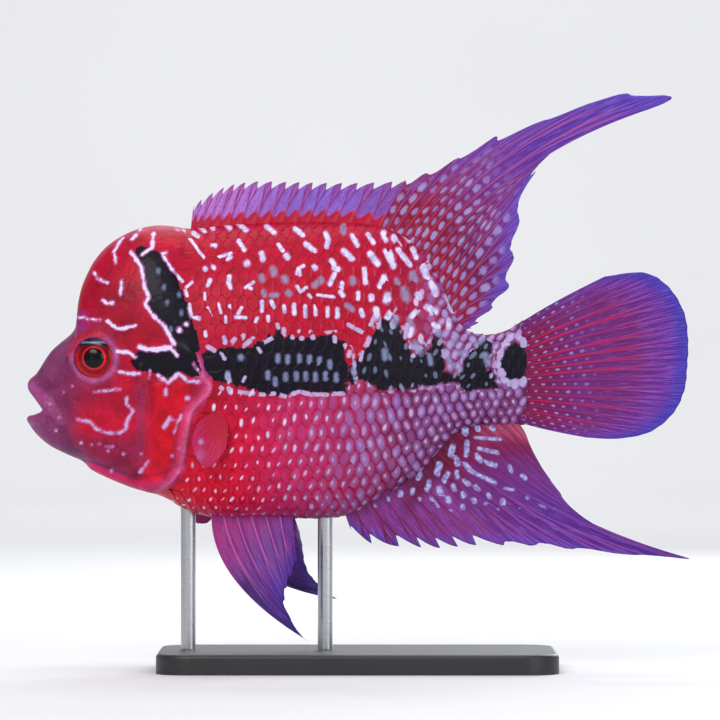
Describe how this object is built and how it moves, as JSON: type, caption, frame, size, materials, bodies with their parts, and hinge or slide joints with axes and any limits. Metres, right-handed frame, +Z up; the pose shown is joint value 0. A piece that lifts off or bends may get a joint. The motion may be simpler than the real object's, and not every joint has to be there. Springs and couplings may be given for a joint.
{
  "type": "flowerhorn cichlid model",
  "caption": "Life-size still model of a flowerhorn cichlid with a high nuchal hump and long trailing fins, held level over a flat base by two short rods.",
  "frame": {"origin": "middle of the underside of the stand's base", "axes": "+Z up, -X towards the snout, -Y towards the fish's left side"},
  "size_m": [0.266, 0.084, 0.2316],
  "materials": {
    "skin": "wet satin, crimson with black band, pale dashes and lavender rear",
    "fin": "satin membrane with raised rays, magenta to blue-violet",
    "eye": "glossy, red iris and black pupil",
    "stand_base": "fine matt black",
    "stand_rod": "brushed"
  },
  "bodies": {
    "root": {"head": "skin", "nuchal_hump": "skin", "upper_jaw": "skin", "lower_jaw": "skin", "opercle_left": "skin", "opercle_right": "skin", "torso": "skin", "caudal_peduncle": "skin", "eye_left": "eye", "eye_right": "eye", "dorsal_fin_spiny": "fin", "dorsal_fin_soft": "fin", "caudal_fin": "fin", "anal_fin_spiny": "fin", "anal_fin_soft": "fin", "pelvic_fin_left": "fin", "pelvic_fin_right": "fin", "pectoral_fin_left": "fin", "pectoral_fin_right": "fin", "stand_base": "stand_base", "stand_rod_front": "stand_rod", "stand_rod_rear": "stand_rod"}
  },
  "joints": []
}
